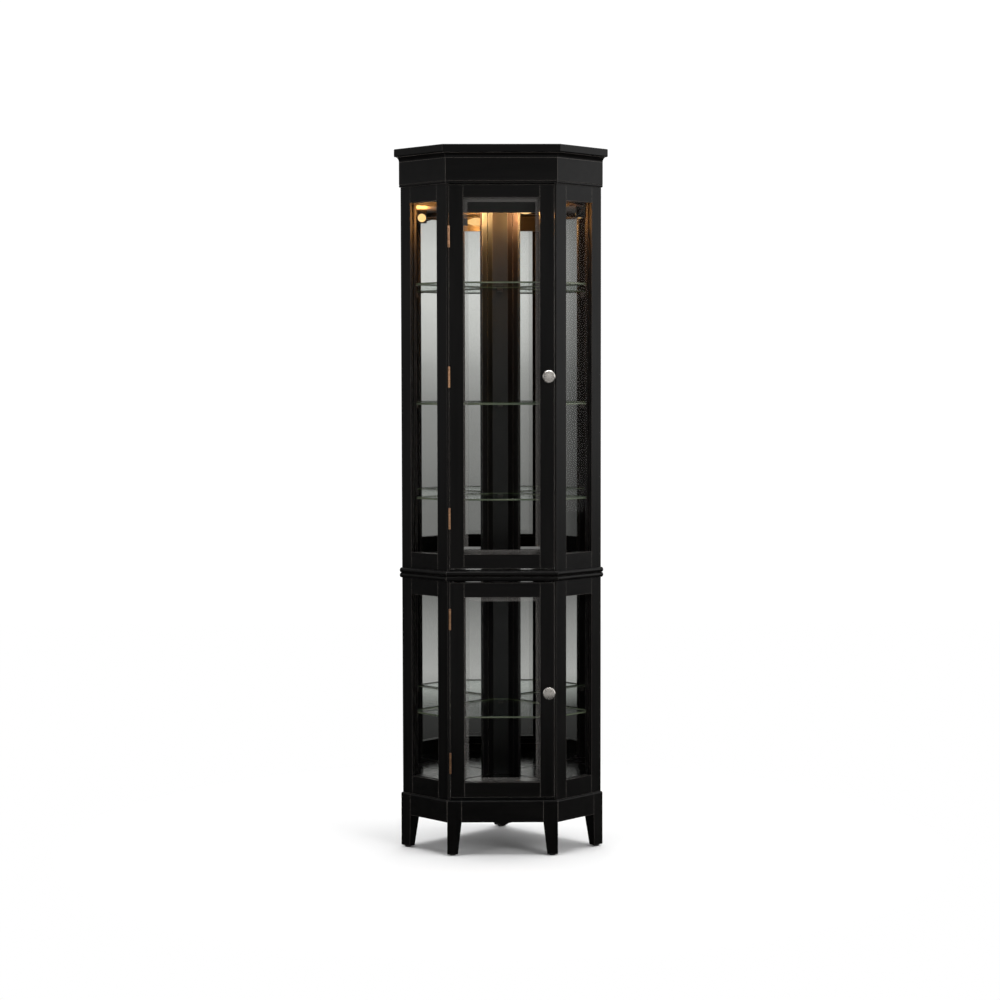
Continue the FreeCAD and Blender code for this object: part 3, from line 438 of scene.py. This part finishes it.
def shelf_pads():
    """Dark rubber pads on the brackets' ledges, under the glass."""
    bm = bmesh.new()
    rear_pad = (0.0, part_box("shelf_clips")[1].y - REAR_PAD_IN)
    spots = [rear_pad] + [(side * x, y) for x, y in (FRONT_PAD, SIDE_PAD) for side in (1, -1)]
    for shelf in ("glass_shelf_top", "glass_shelf_middle", "glass_shelf_bottom", "glass_shelf_lower"):
        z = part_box(shelf)[0].z
        for x, y in spots:
            turned(bm, PAD_PROFILE, Vector((x, y, z)), Vector((0, 0, 1)), PAD_STEPS)
    return bm


# ---------------------------------------------------------------- studio

def card(name, corners, up, across, seen=1.0, felt=1.0):
    """Flat glowing card of the studio, shaded up and across, with its own strength for the camera."""
    mesh = bpy.data.meshes.new(name)
    mesh.from_pydata(corners, [], [tuple(range(len(corners)))])
    obj = bpy.data.objects.new(name, mesh)
    scene.collection.objects.link(obj)
    mat = bpy.data.materials.new(name)
    mat.use_nodes = True
    tree = mat.node_tree
    tree.nodes.clear()
    out = tree.nodes.new("ShaderNodeOutputMaterial")
    glow = tree.nodes.new("ShaderNodeEmission")
    coords = add(tree, "TexCoord")
    split = add(tree, "SeparateXYZ")
    tree.links.new(coords.outputs["Generated"], split.inputs[0])
    shade = add(tree, "Mix", {"data_type": "RGBA", "blend_type": "MULTIPLY"})
    shade.inputs[0].default_value = 1.0
    tree.links.new(ramp(tree, split.outputs["Z"], up), shade.inputs[6])
    tree.links.new(ramp(tree, split.outputs["X"], across), shade.inputs[7])
    tree.links.new(shade.outputs[2], glow.inputs["Color"])
    path = add(tree, "LightPath")
    strength = span(tree, path.outputs["Is Camera Ray"], felt, seen)
    tree.links.new(strength, glow.inputs["Strength"])
    tree.links.new(glow.outputs[0], out.inputs[0])
    mesh.materials.append(mat)
    return obj


def hide_from_reflections(data):
    """The lamp lights what it reaches, but reflected rays that meet it see nothing."""
    data.use_nodes = True
    tree = data.node_tree
    glow = next(n for n in tree.nodes if n.type == "EMISSION")
    path = add(tree, "LightPath")
    tree.links.new(span(tree, path.outputs["Is Glossy Ray"], 1.0, 0.0), glow.inputs["Strength"])


def area(name, at, towards, size, energy, colour=(1, 1, 1)):
    data = bpy.data.lights.new(name, "AREA")
    data.shape = "RECTANGLE"
    data.size, data.size_y = size
    data.energy = energy
    data.color = colour
    hide_from_reflections(data)
    lamp = bpy.data.objects.new(name, data)
    scene.collection.objects.link(lamp)
    lamp.location = at
    lamp.rotation_euler = (Vector(towards) - Vector(at)).to_track_quat("-Z", "Y").to_euler()


def floor():
    """Pale floor that fades to white. What the mirrors see of it has its own tones."""
    mesh = bpy.data.meshes.new("floor")
    a = FLOOR_SIZE
    mesh.from_pydata([(-a, -a, 0), (a, -a, 0), (a, a, 0), (-a, a, 0)], [], [(0, 1, 2, 3)])
    obj = bpy.data.objects.new("floor", mesh)
    scene.collection.objects.link(obj)
    mat, tree, bsdf, out = shader_tree("pale_floor")
    coords = add(tree, "TexCoord")
    split = add(tree, "SeparateXYZ")
    tree.links.new(coords.outputs["Object"], split.inputs[0])
    far = add(tree, "VectorMath", {"operation": "LENGTH"})
    tree.links.new(coords.outputs["Object"], far.inputs[0])
    fade = span(tree, far.outputs["Value"], 0.0, 1.0, *FLOOR_FADE)
    bsdf.inputs["Base Color"].default_value = (0.93, 0.93, 0.93, 1)
    bsdf.inputs["Roughness"].default_value = 0.8
    bsdf.inputs["Specular IOR Level"].default_value = 0.1
    white = add(tree, "Emission", Strength=1.0)
    blend = add(tree, "MixShader")
    tree.links.new(fade, blend.inputs[0])
    tree.links.new(bsdf.outputs[0], blend.inputs[1])
    tree.links.new(white.outputs[0], blend.inputs[2])
    tone = add(tree, "Emission", Strength=1.0)
    ahead = span(tree, split.outputs["Y"], 0.0, 1.0, *FLOOR_SEEN)
    tree.links.new(ramp(tree, ahead, FLOOR_TONES), tone.inputs["Color"])
    path = add(tree, "LightPath")
    final = add(tree, "MixShader")
    tree.links.new(path.outputs["Is Glossy Ray"], final.inputs[0])
    tree.links.new(blend.outputs[0], final.inputs[1])
    tree.links.new(tone.outputs[0], final.inputs[2])
    tree.links.new(final.outputs[0], out.inputs[0])
    mesh.materials.append(mat)


def surroundings():
    """White to the camera; to everything else a dim room, lighter on the right than on the left."""
    world = bpy.data.worlds.new("studio")
    scene.world = world
    world.use_nodes = True
    tree = world.node_tree
    tree.nodes.clear()
    out = tree.nodes.new("ShaderNodeOutputWorld")
    sky = tree.nodes.new("ShaderNodeBackground")
    coords = add(tree, "TexCoord")
    split = add(tree, "SeparateXYZ")
    tree.links.new(coords.outputs["Generated"], split.inputs[0])
    across = span(tree, split.outputs["X"], 0.0, 1.0, -1.0, 1.0)
    room = ramp(tree, across, ROOM_TONES)
    path = add(tree, "LightPath")
    mix = add(tree, "Mix", {"data_type": "RGBA"})
    tree.links.new(path.outputs["Is Camera Ray"], mix.inputs[0])
    tree.links.new(room, mix.inputs[6])
    mix.inputs[7].default_value = (1.0, 1.0, 1.0, 1)
    tree.links.new(mix.outputs[2], sky.inputs["Color"])
    sky.inputs["Strength"].default_value = 1.0
    tree.links.new(sky.outputs[0], out.inputs[0])


surroundings()
floor()
card("backdrop", [(-9, 5, -0.2), (9, 5, -0.2), (9, 5, 9), (-9, 5, 9)], EVEN, EVEN, seen=1.05, felt=0.6)
wall = card("wall_behind", [(-1.6, -9, 0), (1.6, -9, 0), (1.6, -9, 3.2), (-1.6, -9, 3.2)],
            WALL_TONES, WALL_SIDES)
wall.visible_camera = False
new_piece("shelf_pads", shelf_pads(), MATERIALS["fitting_plastic"], "cabinet")

area("key_right", at=(3.2, -3.4, 2.6), towards=(0, 0, 0.95), size=(1.4, 2.2), energy=60)
area("fill_left", at=(-3.4, -2.6, 2.0), towards=(0, 0, 0.9), size=(1.2, 2.2), energy=26)
area("top", at=(0, 0.2, 4.2), towards=(0, 0.2, 0.0), size=(4.0, 3.0), energy=190)


# ---------------------------------------------------------------- lamp light

# The filament's distance from the bulb's end, and how far the glows on the rear post's flanks
# stand to either side, back and up.
FILAMENT_IN = 0.018
GLOW_SIDE, GLOW_BACK, GLOW_UP = 0.085, 0.092, 1.640


def warm_light(name, at, energy, colour, radius, pieces, state):
    """Lamp light inside the case: it leaves the named pieces out, or falls on them alone."""
    data = bpy.data.lights.new(name, "POINT")
    data.energy = energy
    data.color = colour
    data.shadow_soft_size = radius
    hide_from_reflections(data)
    light = bpy.data.objects.new(name, data)
    scene.collection.objects.link(light)
    light.location = at
    light.parent = frame["bodies"]["cabinet"]
    light.visible_camera = False
    linked = bpy.data.collections.new(name + "_pieces")
    for piece in pieces:
        linked.objects.link(nodes[piece])
    light.light_linking.receiver_collection = linked
    for item in linked.collection_objects:
        item.light_linking.link_state = state


bulb_low, bulb_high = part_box("lamp_bulb")
bulb_middle = (bulb_low + bulb_high) / 2
LAMP_PIECES = ("lamp_bulb", "bulb_base", "lamp_socket", "lamp_bracket", "rear_post")
SHINY = tuple(part["node"] for part in subparts
              if part["material_slot"] in ("mirror", "clear_glass", "bevelled_glass", "shelf_glass"))
warm_light("bulb_light", at=(bulb_low.x + FILAMENT_IN, bulb_middle.y, bulb_middle.z), energy=6.0,
           colour=(1.0, 0.42, 0.11), radius=0.012, pieces=LAMP_PIECES + SHINY, state="EXCLUDE")
warm_light("post_glow_left", at=(-GLOW_SIDE, GLOW_BACK, GLOW_UP), energy=9.0,
           colour=(1.0, 0.42, 0.16), radius=0.010, pieces=("rear_post",), state="INCLUDE")
warm_light("post_glow_right", at=(GLOW_SIDE, GLOW_BACK, GLOW_UP), energy=18.0,
           colour=(1.0, 0.58, 0.22), radius=0.010, pieces=("rear_post",), state="INCLUDE")
nodes["lamp_bulb"].visible_shadow = False


# ---------------------------------------------------------------- camera

camera = bpy.data.cameras.new("camera")
camera.sensor_width = 36.0
camera.lens = CAMERA_LENS
eye = bpy.data.objects.new("camera", camera)
scene.collection.objects.link(eye)
facing = Euler((math.pi / 2 - CAMERA_TILT, 0, CAMERA_TURN)).to_matrix()
aim = facing @ Matrix.Rotation(CAMERA_ROLL, 3, "Z")
eye.matrix_world = Matrix.Translation(CAMERA_AT) @ aim.to_4x4()
scene.camera = eye
scene.view_settings.view_transform = "Standard"
